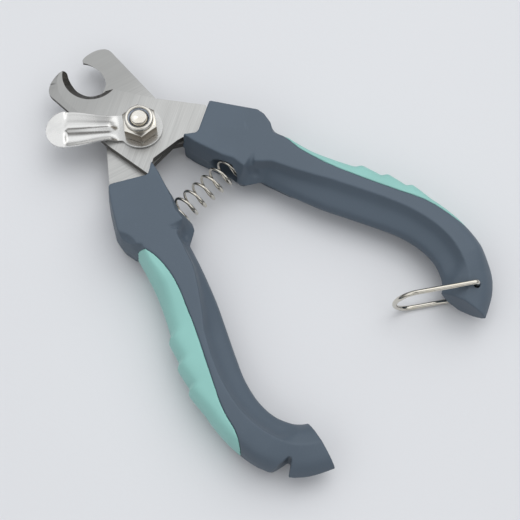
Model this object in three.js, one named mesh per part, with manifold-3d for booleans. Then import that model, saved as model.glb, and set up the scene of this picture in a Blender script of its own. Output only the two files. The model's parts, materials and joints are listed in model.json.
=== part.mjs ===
// Scissor nail clipper for pets: two hooked blades on one bolt, moulded handles that a coil
// spring holds open, a swinging nail guard and a wire bail that locks the handles shut.
//
// Millimetres, +Z up. Shapes are drawn about the pivot: the bolt runs up Z, the jaws point
// along +Y and z = 0 is the plane where the two blades meet. The whole clipper then moves so
// that the origin is the bottom centre of its box. Both halves are one moulding: the left half
// is the right half turned over about the Y axis.

import * as THREE from 'three';
import { mergeVertices } from 'three/addons/utils/BufferGeometryUtils.js';
import Module from 'manifold-3d';

const wasm = await Module();
wasm.setup();

// ---- driving dimensions ----
const CLEARANCE = 0.3; // between pieces that are fixed to each other
const RUN = 0.15; // between pieces that slide or turn on each other
const ROUND_STEPS = 28; // sides of a round piece

const BLADE_THICKNESS = 2.4;
const BLADE_LOW = 0.1; // half the gap between the two blades
const BLADE_HIGH = BLADE_LOW + BLADE_THICKNESS;
const BEVEL_RUN = 2.4; // width of the ground bevel behind the cutting edge
const RELIEF_WIDTH = 3.2; // ground flat along the outside of the hook
const RELIEF_DEPTH = 0.8;

const HANDLE_HALF_HEIGHT = 8;
const CUT_REACH = HANDLE_HALF_HEIGHT + 1; // a cut right through a handle goes this far up and down
const GRIP_DEPTH = 2.2; // thickness of the soft inlay
const RIDGE_HEIGHT = 1.1;
const RIDGE_STARTS = [0.231, 0.324, 0.411]; // along the grip, neck 0 to end face 1
const RIDGE_LENGTH = 0.09;

const SPRING = { wire: 0.85, radius: 3.75, turns: 8.5, halfLength: 15.4, y: -28.6 };
const POCKET_RADIUS = 5.1;
const POCKET_Y = -28; // the spring leans a little towards the rear of its pockets
const POCKET_END = 16.2; // x of the pocket's floor

const BOLT_RADIUS = 3;
const BOLT_END = 10.5;
const BOLT_END_RADIUS = 2.35;
const HEAD_RADIUS = 6;
const HEAD_HEIGHT = 3.2;
const NECK_WIDTH = 6.2; // square neck that stops the bolt turning in the lower blade

const GUARD_THICKNESS = 0.8;
const GUARD_LOW = BLADE_HIGH + RUN;
const GUARD_EYE_RADIUS = 7;
const GUARD_PAD_RADIUS = 6.2;
const GUARD_REACH = 23.2; // from the bolt to the middle of the thumb pad
const GUARD_CURL = 1.6;
const GUARD_ANGLE = THREE.MathUtils.degToRad(139);

const NUT_BASE = GUARD_LOW + GUARD_THICKNESS + RUN;
const NUT_FLATS = 10;
const HEX_HEIGHT = 4.7;
const NUT_HEIGHT = 6.6;
const COLLAR_RADIUS = 4.45;
const LIP_RADIUS = 3.45;

const WIRE_RADIUS = 0.75;
const BAIL = { x: 36.4, y: -108.3, halfHeight: 7.2, straight: 18.2, curve: 6.2, angle: 146.4 };
const BAIL_HOLE_RADIUS = 1.1;

// ---- geometry helpers ----
function solid(geometry) {
  const bare = geometry.clone();
  bare.deleteAttribute('normal');
  bare.deleteAttribute('uv');
  const merged = mergeVertices(bare, 1e-4);
  const mesh = new wasm.Mesh({
    numProp: 3,
    vertProperties: new Float32Array(merged.attributes.position.array),
    triVerts: new Uint32Array(merged.index.array),
  });
  return new wasm.Manifold(mesh);
}

function geometryOf(manifold) {
  const mesh = manifold.getMesh();
  const geometry = new THREE.BufferGeometry();
  geometry.setAttribute('position', new THREE.BufferAttribute(mesh.vertProperties, 3));
  geometry.setIndex(new THREE.BufferAttribute(mesh.triVerts, 1));
  return geometry;
}

const point = ([x, y]) => new THREE.Vector2(x, y);

function plate(shape, low, high) {
  const settings = { depth: high - low, bevelEnabled: false, curveSegments: 8 };
  return new THREE.ExtrudeGeometry(shape, settings).translate(0, 0, low);
}

const polygonPlate = (points, low, high) => plate(new THREE.Shape(points.map(point)), low, high);

// A turned piece about Z; the profile is a list of [radius, height].
const turned = (profile) =>
  new THREE.LatheGeometry(profile.map(point), ROUND_STEPS).rotateX(Math.PI / 2);

const roundBar = (radius, low, high) => turned([[0, low], [radius, low], [radius, high], [0, high]]);

// Moves every side of a polygon, listed anticlockwise, outwards by the same distance.
function grow(points, distance) {
  const moved = [];
  for (let i = 0; i < points.length; i += 1) {
    const here = point(points[i]);
    const back = here.clone().sub(point(points.at(i - 1))).normalize();
    const ahead = point(points[(i + 1) % points.length]).sub(here).normalize();
    const bisector = new THREE.Vector2(back.y + ahead.y, -back.x - ahead.x).normalize();
    const reach = distance / (bisector.x * back.y - bisector.y * back.x);
    moved.push([here.x + bisector.x * reach, here.y + bisector.y * reach]);
  }
  return moved;
}

// Skins a row of closed rings that all have the same number of points.
function loft(rings) {
  const count = rings[0].length;
  const positions = rings.flat().flatMap((p) => [p.x, p.y, p.z]);
  const index = [];
  for (let r = 0; r + 1 < rings.length; r += 1) {
    for (let i = 0; i < count; i += 1) {
      const a = r * count + i;
      const b = r * count + ((i + 1) % count);
      index.push(a, b, b + count, a, b + count, a + count);
    }
  }
  const last = (rings.length - 1) * count;
  for (let i = 1; i + 1 < count; i += 1) {
    index.push(0, i + 1, i, last, last + i, last + i + 1);
  }
  const geometry = new THREE.BufferGeometry();
  geometry.setAttribute('position', new THREE.Float32BufferAttribute(positions, 3));
  geometry.setIndex(index);
  return geometry;
}

const sweep = (shape, path, steps) => new THREE.ExtrudeGeometry(shape, { steps, extrudePath: path });

function disc(radius, sides) {
  const points = [];
  for (let i = 0; i < sides; i += 1) {
    const angle = (i / sides) * Math.PI * 2;
    points.push(new THREE.Vector2(radius * Math.cos(angle), radius * Math.sin(angle)));
  }
  return new THREE.Shape(points);
}

// ---- blade, right half: hook on -X, tang in the right handle ----
const TANG = [
  [7.5, -11.3],
  [13.5, -18],
  [17.6, -22.5],
  [18.4, -31],
  [23.2, -31],
  [24, -19],
  [19.9, -10.4],
];

function bladeOutline() {
  const shape = new THREE.Shape();
  shape.moveTo(1.4, 19.3);
  shape.lineTo(-0.2, 19.25);
  shape.quadraticCurveTo(-4.8, 19.5, -4.95, 25.5);
  shape.quadraticCurveTo(-4.95, 28.8, -3.4, 31.3);
  shape.quadraticCurveTo(-3.2, 32.6, -5.4, 32.7);
  shape.quadraticCurveTo(-9.8, 32.6, -11.8, 30.4);
  shape.quadraticCurveTo(-12.7, 29.3, -12.5, 27.4);
  shape.lineTo(-11.3, 3);
  shape.lineTo(-8.8, -13);
  shape.lineTo(-4, -10.3);
  shape.lineTo(5.4, -10.9);
  for (const [x, y] of TANG) shape.lineTo(x, y);
  shape.lineTo(20.4, -8);
  shape.lineTo(10.3, 5);
  shape.closePath();
  return shape;
}

// The bite is ground to an edge at the meeting plane by a cone about its middle.
function bevelCutter() {
  const [x, y, edgeRadius] = [1.7, 25.4, 6.75];
  const slope = BEVEL_RUN / BLADE_THICKNESS;
  const [low, high] = [BLADE_LOW - 1, BLADE_HIGH + 1];
  const wide = (z) => edgeRadius + (z - BLADE_LOW) * slope;
  return turned([[0, low], [wide(low), low], [wide(high), high], [0, high]]).translate(x, y, 0);
}

function reliefCutter() {
  const top = BLADE_HIGH + 1;
  const outer = -14.5;
  const inner = -12.6 + RELIEF_WIDTH;
  const slope = RELIEF_DEPTH / RELIEF_WIDTH;
  const wedge = new THREE.Shape([
    point([inner, BLADE_HIGH]),
    point([inner, top]),
    point([outer, top]),
    point([outer, BLADE_HIGH - (inner - outer) * slope]),
  ]);
  return new THREE.ExtrudeGeometry(wedge, { depth: 24, bevelEnabled: false })
    .rotateX(Math.PI / 2)
    .translate(0, 36, 0);
}

function blade(boltHole) {
  const blank = solid(plate(bladeOutline(), BLADE_LOW, BLADE_HIGH));
  const ground = blank.subtract(solid(bevelCutter())).subtract(solid(reliefCutter()));
  return ground.subtract(solid(boltHole));
}

// ---- handle, right half ----
// A section runs from the inner edge (0) to the outer edge (1) of the outline at the parting
// plane; each pair is [place across, height] and the lower side mirrors the upper one.
const headSection = (lean) => [
  [0, 0], [lean * 0.4, 0.5], [lean, 1], [0.5, 1], [0.95, 1], [0.98, 0.5], [1, 0],
];
const HORN = headSection(0.02);
const MIDDLE = headSection(0.08);
const HEAD = headSection(0.14);
const NECK = [[0, 0], [0.1, 0.24], [0.22, 0.54], [0.28, 1], [0.85, 0.99], [0.96, 0.5], [1, 0]];
const GRIP = [[0, 0], [0.06, 0.27], [0.31, 0.6], [0.45, 1], [0.82, 0.84], [0.965, 0.44], [1, 0]];
const TAIL = [[0, 0], [0.08, 0.35], [0.22, 0.7], [0.47, 1], [0.76, 0.72], [0.92, 0.35], [1, 0]];

const FULL = HANDLE_HALF_HEIGHT;
const HEAD_RUNGS = [
  { inner: [6.1, -12], outer: [21.2, -9.1], height: FULL - 0.9, section: HORN },
  { inner: [6.4, -13.2], outer: [22.1, -10.3], height: FULL, section: HORN },
  { inner: [7.1, -17], outer: [25, -14.4], height: FULL, section: HORN },
  { inner: [8.6, -26], outer: [30.2, -22.2], height: FULL, section: MIDDLE },
  { inner: [9.2, -30], outer: [30.6, -24.6], height: FULL, section: HEAD },
  { inner: [9.9, -34.2], outer: [29.8, -28.4], height: FULL, section: HEAD },
  { inner: [10.7, -36.1], outer: [29.7, -30.2], height: FULL, section: NECK },
  { inner: [12.4, -37.2], outer: [30, -32.2], height: FULL, section: NECK },
];
const GRIP_RUNGS = [
  { inner: [15.3, -38.9], outer: [31, -36], height: FULL, section: NECK },
  { inner: [17.9, -47], outer: [33.4, -43.6], height: FULL, section: NECK },
  { inner: [21.9, -57.4], outer: [37, -51.9], height: FULL, section: GRIP },
  { inner: [25.9, -66], outer: [40.9, -59.5], height: FULL, section: GRIP },
  { inner: [29.5, -73.6], outer: [44.3, -67], height: FULL, section: GRIP },
  { inner: [32.6, -80.8], outer: [47, -75.3], height: FULL, section: GRIP },
  { inner: [34.2, -88], outer: [48.7, -84], height: FULL, section: GRIP },
  { inner: [33.9, -94.2], outer: [49, -92.5], height: FULL, section: GRIP },
  { inner: [32, -98.8], outer: [47.7, -101], height: 7.4, section: GRIP },
  { inner: [30.2, -101], outer: [44.3, -108.3], height: 6.6, section: TAIL },
  { inner: [28.9, -102], outer: [39.2, -113.3], height: 5.9, section: TAIL },
  { inner: [28.3, -102.4], outer: [32, -117], height: 5, section: TAIL },
];
const GRIP_STEPS = 44;

// A finger ridge rises sharply at its front and falls slowly behind.
function ridge(along) {
  let rise = 0;
  for (const start of RIDGE_STARTS) {
    const u = (along - start) / RIDGE_LENGTH;
    if (u >= 0 && u < 1) rise = RIDGE_HEIGHT * (u < 0.2 ? u / 0.2 : (1 - u) / 0.8);
  }
  return rise;
}

function gripRungs() {
  const inner = new THREE.SplineCurve(GRIP_RUNGS.map((rung) => point(rung.inner)));
  const outer = new THREE.SplineCurve(GRIP_RUNGS.map((rung) => point(rung.outer)));
  const spans = GRIP_RUNGS.length - 1;
  const rungs = [];
  for (let i = 0; i <= GRIP_STEPS; i += 1) {
    const along = i / GRIP_STEPS;
    const first = Math.min(Math.floor(along * spans), spans - 1);
    const mix = along * spans - first;
    const [a, b] = [GRIP_RUNGS[first], GRIP_RUNGS[first + 1]];
    const section = a.section.map(([u, z], k) => [
      THREE.MathUtils.lerp(u, b.section[k][0], mix),
      THREE.MathUtils.lerp(z, b.section[k][1], mix),
    ]);
    const height = THREE.MathUtils.lerp(a.height, b.height, mix);
    const across = outer.getPoint(along).sub(inner.getPoint(along)).normalize();
    const edge = outer.getPoint(along).addScaledVector(across, ridge(along));
    rungs.push({ inner: inner.getPoint(along).toArray(), outer: edge.toArray(), height, section });
  }
  return rungs;
}

function sectionRing(rung, inset) {
  const inner = point(rung.inner);
  const outer = point(rung.outer);
  const across = outer.clone().sub(inner).normalize();
  inner.addScaledVector(across, inset);
  outer.addScaledVector(across, -inset);
  const height = rung.height - inset;
  const upper = rung.section.map(([u, z]) => {
    const p = inner.clone().lerp(outer, u);
    return new THREE.Vector3(p.x, p.y, z * height);
  });
  const lower = upper.slice(1, -1).reverse().map((p) => new THREE.Vector3(p.x, p.y, -p.z));
  return [...upper, ...lower].reverse();
}

const handleRungs = [...HEAD_RUNGS, ...gripRungs()];
const handleBlank = (inset) => solid(loft(handleRungs.map((rung) => sectionRing(rung, inset))));

// Where the soft inlay meets the hard body, on the upper and the lower side.
const INLAY_EDGES = [
  { upper: [31.5, -32.5], lower: [31.8, -28.4] },
  { upper: [29.2, -34.6], lower: [28.4, -29.8] },
  { upper: [29, -37.5], lower: [26.6, -34.4] },
  { upper: [29.4, -41.5], lower: [26.4, -40.3] },
  { upper: [31.3, -47.8], lower: [27.7, -47.3] },
  { upper: [34.2, -55.4], lower: [30.5, -54.6] },
  { upper: [38.1, -64.6], lower: [33.6, -61.7] },
  { upper: [41.6, -72.2], lower: [40.5, -76.1] },
  { upper: [45.5, -80.6], lower: [43.9, -83.8] },
  { upper: [47.8, -92.4], lower: [45.8, -90.7] },
  { upper: [49.6, -96.6], lower: [49.3, -97.6] },
];

// The block of space outside those edges, grown towards the body by the given distance.
function inlayZone(distance) {
  const far = [[60, -100], [60, -28]];
  const ring = (key, z) => {
    const outline = [...INLAY_EDGES.map((edge) => edge[key]), ...far];
    return grow(outline, distance).map(([x, y]) => new THREE.Vector3(x, y, z));
  };
  return zoneSolid(ring('lower', -CUT_REACH), ring('upper', CUT_REACH));
}

// Two outlines of the same number of points, one above the other, joined by straight walls.
function zoneSolid(low, high) {
  const count = low.length;
  const flat = (ring) => ring.map((p) => new THREE.Vector2(p.x, p.y));
  const highFaces = THREE.ShapeUtils.triangulateShape(flat(high), []);
  const lowFaces = THREE.ShapeUtils.triangulateShape(flat(low), []);
  const index = [];
  for (const [a, b, c] of highFaces) index.push(count + a, count + b, count + c);
  for (const [a, b, c] of lowFaces) index.push(c, b, a);
  for (let i = 0; i < count; i += 1) {
    const next = (i + 1) % count;
    index.push(i, next, count + next, i, count + next, count + i);
  }
  const geometry = new THREE.BufferGeometry();
  const positions = [...low, ...high].flatMap((p) => [p.x, p.y, p.z]);
  geometry.setAttribute('position', new THREE.Float32BufferAttribute(positions, 3));
  geometry.setIndex(index);
  return solid(geometry);
}

// The front of the head is cut back to leave a horn beside the blade's inner edge.
function hornCutter() {
  const cut = new THREE.Shape();
  cut.moveTo(5.4, -8);
  cut.lineTo(5.7, -12);
  cut.lineTo(9.6, -14.8);
  cut.quadraticCurveTo(10.4, -15.3, 11.6, -14.6);
  cut.lineTo(22, -9);
  cut.lineTo(22, -8);
  cut.closePath();
  return plate(cut, -CUT_REACH, CUT_REACH);
}

function tangSlot() {
  const outline = grow([...TANG, [20.4, -7], [7, -7]], CLEARANCE);
  return polygonPlate(outline, BLADE_LOW - CLEARANCE, BLADE_HIGH + CLEARANCE);
}

function springPocket() {
  const length = POCKET_END - 2;
  return roundBar(POCKET_RADIUS, 0, length).rotateY(Math.PI / 2).translate(2, POCKET_Y, 0);
}

function handleHalf() {
  const groove = inlayZone(0).subtract(handleBlank(GRIP_DEPTH));
  return handleBlank(0)
    .subtract(groove)
    .subtract(solid(hornCutter()))
    .subtract(solid(tangSlot()))
    .subtract(solid(springPocket()));
}

function gripHalf() {
  const core = handleBlank(GRIP_DEPTH - CLEARANCE);
  return handleBlank(0).intersect(inlayZone(-CLEARANCE)).subtract(core);
}

const bailHole = () =>
  roundBar(BAIL_HOLE_RADIUS, -CUT_REACH, CUT_REACH).translate(BAIL.x, BAIL.y, 0);

// V-shaped catch in the outer edge of the left handle's end, drawn on the right side.
const CATCH = [
  [43.4, -109.4],
  [47.5, -109.4],
  [47.5, -104.2],
  [45.1, -105.2],
  [39.8, -105.9],
  [39.6, -106.8],
];
const catchNotch = () => polygonPlate(CATCH, -CUT_REACH, CUT_REACH);

// ---- fasteners ----
const squareHole = () =>
  new THREE.BoxGeometry(NECK_WIDTH + 2 * RUN, NECK_WIDTH + 2 * RUN, 4 * BLADE_THICKNESS);

function bolt() {
  const seat = -BLADE_HIGH - RUN;
  const foot = seat - HEAD_HEIGHT;
  const body = turned([
    [0, foot],
    [HEAD_RADIUS * 0.5, foot],
    [HEAD_RADIUS * 0.85, foot + HEAD_HEIGHT * 0.35],
    [HEAD_RADIUS, seat - HEAD_HEIGHT * 0.25],
    [HEAD_RADIUS, seat],
    [BOLT_RADIUS, seat],
    [BOLT_RADIUS, BOLT_END - 0.8],
    [BOLT_END_RADIUS, BOLT_END],
    [0, BOLT_END],
  ]);
  const neckHeight = BLADE_THICKNESS - 0.4;
  const neck = new THREE.BoxGeometry(NECK_WIDTH, NECK_WIDTH, neckHeight + 0.5);
  neck.translate(0, 0, seat + neckHeight / 2 - 0.25);
  return solid(body).add(solid(neck));
}

function nut() {
  const corner = NUT_FLATS / Math.sqrt(3);
  const hexTop = NUT_BASE + HEX_HEIGHT;
  const top = NUT_BASE + NUT_HEIGHT;
  const bore = BOLT_RADIUS + RUN;
  const hexagon = new THREE.CylinderGeometry(corner, corner, HEX_HEIGHT, 6)
    .rotateX(Math.PI / 2)
    .rotateZ(THREE.MathUtils.degToRad(25))
    .translate(0, 0, NUT_BASE + HEX_HEIGHT / 2);
  const chamfers = turned([
    [0, NUT_BASE],
    [corner - 0.5, NUT_BASE],
    [corner + 0.1, NUT_BASE + 0.5],
    [corner + 0.1, hexTop - 0.7],
    [COLLAR_RADIUS, hexTop],
    [0, hexTop],
  ]);
  const collar = turned([
    [0, hexTop - 0.2],
    [COLLAR_RADIUS, hexTop - 0.2],
    [COLLAR_RADIUS, top - 0.8],
    [COLLAR_RADIUS - 0.25, top - 0.25],
    [COLLAR_RADIUS - 0.65, top],
    [LIP_RADIUS, top - 0.3],
    [0, top - 0.3],
  ]);
  const seat = hexTop - 0.2;
  const hollow = turned([
    [0, NUT_BASE - 1],
    [bore, NUT_BASE - 1],
    [bore, seat],
    [COLLAR_RADIUS - 0.6, seat],
    [COLLAR_RADIUS - 0.6, top - 0.8],
    [LIP_RADIUS, top - 0.6],
    [LIP_RADIUS, top + 1],
    [0, top + 1],
  ]);
  return solid(hexagon).intersect(solid(chamfers)).add(solid(collar)).subtract(solid(hollow));
}

function nutInsert() {
  const low = NUT_BASE + HEX_HEIGHT - 0.2 + RUN;
  const high = NUT_BASE + NUT_HEIGHT - 0.8 - RUN;
  const [inner, outer] = [BOLT_RADIUS + RUN / 2, COLLAR_RADIUS - 0.6 - RUN];
  return turned([[inner, low], [outer, low], [outer, high], [inner, high], [inner, low]]);
}

// ---- nail guard: a pressed sheet lever with a dished thumb pad, drawn along +X ----
const smooth = (x, from, to) => THREE.MathUtils.smoothstep(x, from, to);

function guardHalfWidth(s) {
  const eye = Math.sqrt(Math.max(GUARD_EYE_RADIUS ** 2 - s ** 2, 0));
  const pad = Math.sqrt(Math.max(GUARD_PAD_RADIUS ** 2 - (s - GUARD_REACH) ** 2, 0));
  const waist = 4.35 + 1.85 * smooth(s, 9, 22);
  if (s < 9) return Math.max(eye, s > 0 ? waist : 0);
  return s > GUARD_REACH ? pad : Math.max(waist, 0);
}

// The rim and the tip of the lever curl up around a trough that stays low.
function guardRise(s, across) {
  const trough = (1 - smooth(Math.abs(across), 0.2, 0.95)) * (1 - smooth(s, 21, 28));
  return GUARD_CURL * smooth(s, 8, 16) * (1 - 0.85 * trough);
}

function guard() {
  const columns = 8;
  const low = -GUARD_EYE_RADIUS + 0.03;
  const high = GUARD_REACH + GUARD_PAD_RADIUS - 0.03;
  const rows = 34;
  const rings = [];
  for (let r = 0; r <= rows; r += 1) {
    const ease = (1 - Math.cos((r / rows) * Math.PI)) / 2;
    const s = THREE.MathUtils.lerp(low, high, THREE.MathUtils.lerp(r / rows, ease, 0.75));
    const half = guardHalfWidth(s);
    const ring = [];
    for (let c = 0; c <= columns; c += 1) {
      const across = 1 - (2 * c) / columns;
      const top = GUARD_LOW + GUARD_THICKNESS + guardRise(s, across);
      ring.push(new THREE.Vector3(s, half * across, top));
    }
    const sink = (p) => new THREE.Vector3(p.x, p.y, p.z - GUARD_THICKNESS);
    rings.push([...ring, ...[...ring].reverse().map(sink)]);
  }
  const sheet = solid(loft(rings));
  const hole = roundBar(BOLT_RADIUS + RUN, GUARD_LOW - 1, GUARD_LOW + 3);
  return geometryOf(sheet.subtract(solid(hole))).rotateZ(GUARD_ANGLE);
}

// ---- return spring, along X between the two pockets ----
class Helix extends THREE.Curve {
  getPoint(t, target = new THREE.Vector3()) {
    const angle = t * SPRING.turns * Math.PI * 2;
    const x = THREE.MathUtils.lerp(-SPRING.halfLength, SPRING.halfLength, t);
    return target.set(x, SPRING.y + SPRING.radius * Math.cos(angle), SPRING.radius * Math.sin(angle));
  }
}

const spring = () => sweep(disc(SPRING.wire / 2, 6), new Helix(), SPRING.turns * 12);

// ---- wire bail, standing astride the right handle's end, drawn along +X ----
class BailPath extends THREE.Curve {
  getPoint(t, target = new THREE.Vector3()) {
    const { halfHeight, straight, curve } = BAIL;
    const stub = halfHeight - 1.2;
    const bend = 1.2;
    const arc = Math.PI * (halfHeight + curve) * 0.5;
    const total = 2 * (stub + bend * 1.57 + straight - bend) + arc;
    const side = t <= 0.5 ? 1 : -1;
    let d = (t <= 0.5 ? t : 1 - t) * total;
    if (d < stub) return target.set(0, 0, side * (0.3 + d * ((stub - 0.3) / stub)));
    d -= stub;
    if (d < bend * 1.57) {
      const a = d / bend;
      return target.set(bend * (1 - Math.cos(a)), 0, side * (stub + bend * Math.sin(a)));
    }
    d -= bend * 1.57;
    if (d < straight - bend) return target.set(bend + d, 0, side * halfHeight);
    const a = ((d - straight + bend) / arc) * Math.PI;
    return target.set(straight + curve * Math.sin(a), 0, side * halfHeight * Math.cos(a));
  }
}

function lockWire() {
  return sweep(disc(WIRE_RADIUS, 8), new BailPath(), 64)
    .rotateZ(THREE.MathUtils.degToRad(BAIL.angle))
    .translate(BAIL.x, BAIL.y, 0);
}

// ---- materials ----
function finish(color, roughness, metalness) {
  return new THREE.MeshStandardMaterial({ color, roughness, metalness });
}
const STEEL = finish(0xb9bab8, 0.35, 1);
const POLISHED = finish(0xd4d3cf, 0.15, 1);
const NICKEL = finish(0xc9c4b4, 0.2, 1);
const BODY = finish(0x5f6975, 0.55, 0);
const SOFT = finish(0x92cbc1, 0.65, 0);
const NYLON = finish(0x7f8ba3, 0.5, 0);

// ---- assembly ----
const clipper = new THREE.Group();
const turnOver = (geometry) => geometry.rotateY(Math.PI);

function add(name, geometry, material) {
  const mesh = new THREE.Mesh(geometry, material);
  mesh.name = name;
  clipper.add(mesh);
}

add('upper_blade', geometryOf(blade(roundBar(BOLT_RADIUS + RUN, -1, BLADE_HIGH + 1))), STEEL);
add('lower_blade', turnOver(geometryOf(blade(squareHole()))), STEEL);
add('right_handle', geometryOf(handleHalf().subtract(solid(bailHole()))), BODY);
add('left_handle', turnOver(geometryOf(handleHalf().subtract(solid(catchNotch())))), BODY);
add('right_grip', geometryOf(gripHalf()), SOFT);
add('left_grip', turnOver(geometryOf(gripHalf())), SOFT);
add('pivot_bolt', geometryOf(bolt()), NICKEL);
add('pivot_nut', geometryOf(nut()), NICKEL);
add('nut_insert', nutInsert(), NYLON);
add('nail_guard', guard(), POLISHED);
add('return_spring', spring(), POLISHED);
add('lock_wire', lockWire(), POLISHED);

// The origin moves to the bottom centre of the clipper's box.
const box = new THREE.Box3().setFromObject(clipper);
const middle = box.getCenter(new THREE.Vector3());
clipper.position.set(-middle.x, -middle.y, -box.min.z);

export default clipper;
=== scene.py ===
"""Looks for a scissor nail clipper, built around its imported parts.

Shapes are drawn in millimetres about the pivot: the bolt runs up Z, the jaws point along +Y and
z = 0 is the plane where the blades meet. Both halves are one moulding, so the left half is the
right half turned over about the Y axis. put_in_place() then moves a piece into the frame.
"""

import json
import math

import bmesh
import bpy
import numpy as np
from mathutils import Matrix, Vector


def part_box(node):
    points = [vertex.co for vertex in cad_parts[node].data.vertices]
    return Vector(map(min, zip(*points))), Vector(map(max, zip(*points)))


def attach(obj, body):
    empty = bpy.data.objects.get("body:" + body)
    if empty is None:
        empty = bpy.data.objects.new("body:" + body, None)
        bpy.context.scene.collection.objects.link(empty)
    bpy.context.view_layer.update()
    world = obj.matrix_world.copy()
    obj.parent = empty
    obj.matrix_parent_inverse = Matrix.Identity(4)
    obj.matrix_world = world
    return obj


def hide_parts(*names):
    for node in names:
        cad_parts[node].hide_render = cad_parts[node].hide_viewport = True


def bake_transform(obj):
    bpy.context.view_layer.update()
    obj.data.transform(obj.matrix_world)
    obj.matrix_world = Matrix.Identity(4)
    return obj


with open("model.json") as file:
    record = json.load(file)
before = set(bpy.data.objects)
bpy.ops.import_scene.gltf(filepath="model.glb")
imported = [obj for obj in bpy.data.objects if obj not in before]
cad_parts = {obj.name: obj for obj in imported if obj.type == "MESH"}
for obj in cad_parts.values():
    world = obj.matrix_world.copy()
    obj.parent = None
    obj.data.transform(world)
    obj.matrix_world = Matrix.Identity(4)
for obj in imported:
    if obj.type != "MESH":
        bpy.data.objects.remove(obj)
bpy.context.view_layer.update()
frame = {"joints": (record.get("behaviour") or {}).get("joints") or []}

MM = 0.001
JOINTS = {joint["name"]: joint for joint in frame["joints"]}
PIVOT = Vector(JOINTS["squeeze"]["pos_m"])
TO_FRAME = Matrix.Translation(PIVOT) @ Matrix.Scale(MM, 4)
TURN_OVER = Matrix.Rotation(math.pi, 4, "Y")


def node_range(node, axis):
    """Lowest and highest place of a CAD node along one axis, in millimetres about the pivot."""
    low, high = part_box(node)
    return (low[axis] - PIVOT[axis]) / MM, (high[axis] - PIVOT[axis]) / MM


# ---- driving dimensions, in millimetres ----
BLADE_LOW, BLADE_HIGH = node_range("upper_blade", 2)
BEVEL_RUN = 2.4

HALF_HEIGHT = node_range("left_handle", 2)[1]
CUT_REACH = HALF_HEIGHT + 1
GRIP_DEPTH = 2.2
SEAM = 0.05
RIDGE_HEIGHT = 1.15
# Starts and length are shares of the way along the grip's rungs.
RIDGE_STARTS = (0.231, 0.324, 0.411)
RIDGE_LENGTH = 0.09
RIDGE_FRONT = 0.2  # share of a ridge's length over which it rises

SPRING_END = node_range("return_spring", 0)[1]
SPRING_Y = -28.6
SPRING_RADIUS = 3.75
SPRING_WIRE = 0.85
SPRING_TURNS = 8.5
POCKET_RADIUS = 5.1
POCKET_Y = -28.0
POCKET_START = 2
POCKET_END = 16.2

BOLT_RADIUS = 3.0
BOLT_PLAY = 0.15
BOLT_END = node_range("pivot_bolt", 2)[1]
BOLT_END_RADIUS = 2.35
BOLT_HEAD_RADIUS = 6.0
BOLT_HEAD_HEIGHT = 3.2
BOLT_HEAD_GAP = 0.15
BOLT_NECK = 6.2
THREAD_PITCH = 1.0
THREAD_DEPTH = 0.35
THREAD_CREST = 0.12

GUARD_LOW = node_range("nail_guard", 2)[0]
GUARD_THICKNESS = 0.8
GUARD_EYE_RADIUS = 7.0
GUARD_PAD_RADIUS = 6.2
GUARD_REACH = 23.2
GUARD_CURL = node_range("nail_guard", 2)[1] - GUARD_LOW - GUARD_THICKNESS
GUARD_ANGLE = math.radians(139)

NUT_BASE, NUT_TOP = node_range("pivot_nut", 2)
HEX_TOP = NUT_BASE + 4.7
NUT_FLATS = 10
NUT_CORNER = NUT_FLATS / math.sqrt(3)
NUT_TURN = math.radians(25)
COLLAR_RADIUS = 4.45
COLLAR_ROLL = 0.6
LIP_RADIUS = 3.45

BAIL_PIVOT = (Vector(JOINTS["lock_swing"]["pos_m"]) - PIVOT) / MM
BAIL_WIRE = 1.5
BAIL_HALF_HEIGHT = 7.2
BAIL_STRAIGHT = 18.2
BAIL_CURVE = 6.2
BAIL_CORNER = 1.2
BAIL_ANGLE = math.radians(146.4)
BAIL_HOLE_RADIUS = 1.1


# ---- mesh helpers ----
WELD = 1e-5  # points closer than this are one


def new_piece(name, points, faces):
    mesh = bpy.data.meshes.new(name)
    mesh.from_pydata([tuple(p) for p in points], [], faces)
    mesh.validate()
    piece = bpy.data.objects.new(name, mesh)
    bpy.context.scene.collection.objects.link(piece)
    return piece


def settle(piece):
    """Works the piece's modifiers into its mesh."""
    bpy.context.view_layer.update()
    done = piece.evaluated_get(bpy.context.evaluated_depsgraph_get())
    mesh = bpy.data.meshes.new_from_object(done)
    piece.modifiers.clear()
    piece.data = mesh
    return piece


def modify(piece, kind, **settings):
    modifier = piece.modifiers.new(kind.lower(), kind)
    for key, value in settings.items():
        setattr(modifier, key, value)
    return settle(piece)


def cut(piece, *tools, operation="DIFFERENCE"):
    for tool in tools:
        modify(piece, "BOOLEAN", object=tool, operation=operation, solver="EXACT")
        bpy.data.objects.remove(tool)
    return piece


def copied(piece, name):
    twin = piece.copy()
    twin.data = piece.data.copy()
    twin.name = name
    bpy.context.scene.collection.objects.link(twin)
    return twin


def smooth_step(x, low, high):
    t = np.clip((x - low) / (high - low), 0, 1)
    return t * t * (3 - 2 * t)


def spline(points, place):
    """A smooth curve through the points at place, which counts from 0 at the first point."""
    points = np.array(points, float)
    last = len(points) - 1
    i = min(max(int(place), 0), last - 1)
    t = place - i
    a, b, c, d = (points[min(max(k, 0), last)] for k in (i - 1, i, i + 1, i + 2))
    u, v = (c - a) / 2, (d - b) / 2
    return (2 * b - 2 * c + u + v) * t**3 + (3 * c - 3 * b - 2 * u - v) * t**2 + u * t + b


def straight_mix(values, place):
    """The value at place on straight lines between the values, counted from 0 at the first."""
    i = min(int(place), len(values) - 2)
    mix = place - i
    return values[i] * (1 - mix) + values[i + 1] * mix


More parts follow.
